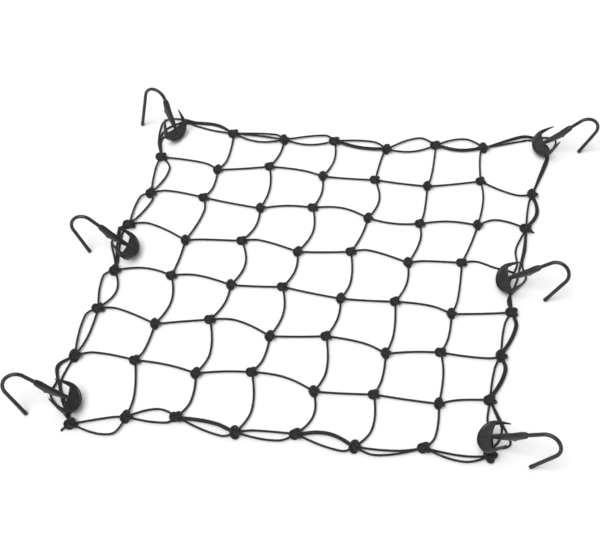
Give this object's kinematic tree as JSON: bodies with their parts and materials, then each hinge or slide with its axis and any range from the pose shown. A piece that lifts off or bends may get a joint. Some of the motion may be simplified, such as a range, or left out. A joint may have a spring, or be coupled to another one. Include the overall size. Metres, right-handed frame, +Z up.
{
  "type": "cargo net",
  "caption": "Square knotted elastic net, laid out flat, with clip-on wire hooks in plastic bodies round its doubled border cord, for holding a load on a rack.",
  "frame": {"origin": "middle of the laid-out net with its hooks, on the surface", "axes": "+Z up, +X along the rows of the net to the right, +Y away from the near border"},
  "size_m": [0.5198, 0.467, 0.0556],
  "materials": {
    "elastic_cord": "black braided elastic cord",
    "hook_plastic": "satin black moulded plastic",
    "wire_coating": "black plastic-coated steel wire"
  },
  "bodies": {
    "root": {"net": "elastic_cord", "hook_body_far_left": "hook_plastic", "hook_body_far_right": "hook_plastic", "hook_body_mid_left": "hook_plastic", "hook_body_mid_right": "hook_plastic", "hook_body_near_left": "hook_plastic", "hook_body_near_right": "hook_plastic", "hook_wire_far_left": "wire_coating", "hook_wire_far_right": "wire_coating", "hook_wire_mid_left": "wire_coating", "hook_wire_mid_right": "wire_coating", "hook_wire_near_left": "wire_coating", "hook_wire_near_right": "wire_coating"}
  },
  "joints": []
}
